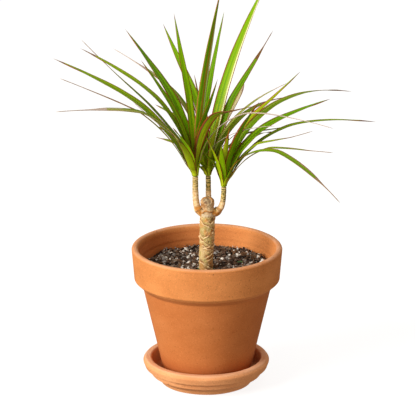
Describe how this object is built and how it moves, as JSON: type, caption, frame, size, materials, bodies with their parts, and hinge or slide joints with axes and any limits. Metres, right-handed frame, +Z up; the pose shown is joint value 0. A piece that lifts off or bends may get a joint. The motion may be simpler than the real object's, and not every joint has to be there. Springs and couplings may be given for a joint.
{
  "type": "potted madagascar dragon tree",
  "caption": "Young dragon tree: a short cut cane with side stems, each ending in a tuft of long narrow arching leaves, in a round clay pot on a saucer.",
  "frame": {"origin": "centre of the pot's axis on the flat underside of the saucer, at the level it stands on", "axes": "+Z up, +X to the right of the plant as pictured, -Y towards the viewer"},
  "size_m": [0.3238, 0.206, 0.4157],
  "materials": {
    "terracotta": "unglazed clay, matt",
    "potting_soil": "loose and matt",
    "bark": "rough, with leaf scars",
    "stem_bark": "smooth, with ring scars",
    "leaf": "satin"
  },
  "bodies": {
    "root": {"leaf_centre_01": "leaf", "leaf_centre_02": "leaf", "leaf_centre_03": "leaf", "leaf_centre_04": "leaf", "leaf_centre_05": "leaf", "leaf_centre_06": "leaf", "leaf_centre_07": "leaf", "leaf_centre_08": "leaf", "leaf_centre_09": "leaf", "leaf_centre_10": "leaf", "leaf_centre_11": "leaf", "leaf_centre_12": "leaf", "leaf_centre_13": "leaf", "leaf_centre_14": "leaf", "leaf_centre_15": "leaf", "leaf_left_01": "leaf", "leaf_left_02": "leaf", "leaf_left_03": "leaf", "leaf_left_04": "leaf", "leaf_left_05": "leaf", "leaf_left_06": "leaf", "leaf_left_07": "leaf", "leaf_left_08": "leaf", "leaf_left_09": "leaf", "leaf_left_10": "leaf", "leaf_left_11": "leaf", "leaf_left_12": "leaf", "leaf_left_13": "leaf", "leaf_left_14": "leaf", "leaf_left_15": "leaf", "leaf_right_01": "leaf", "leaf_right_02": "leaf", "leaf_right_03": "leaf", "leaf_right_04": "leaf", "leaf_right_05": "leaf", "leaf_right_06": "leaf", "leaf_right_07": "leaf", "leaf_right_08": "leaf", "leaf_right_09": "leaf", "leaf_right_10": "leaf", "leaf_right_11": "leaf", "leaf_right_12": "leaf", "leaf_right_13": "leaf", "leaf_right_14": "leaf", "pot": "terracotta", "saucer": "terracotta", "soil": "potting_soil", "stem_centre": "stem_bark", "stem_left": "stem_bark", "stem_right": "stem_bark", "trunk": "bark"}
  },
  "joints": []
}
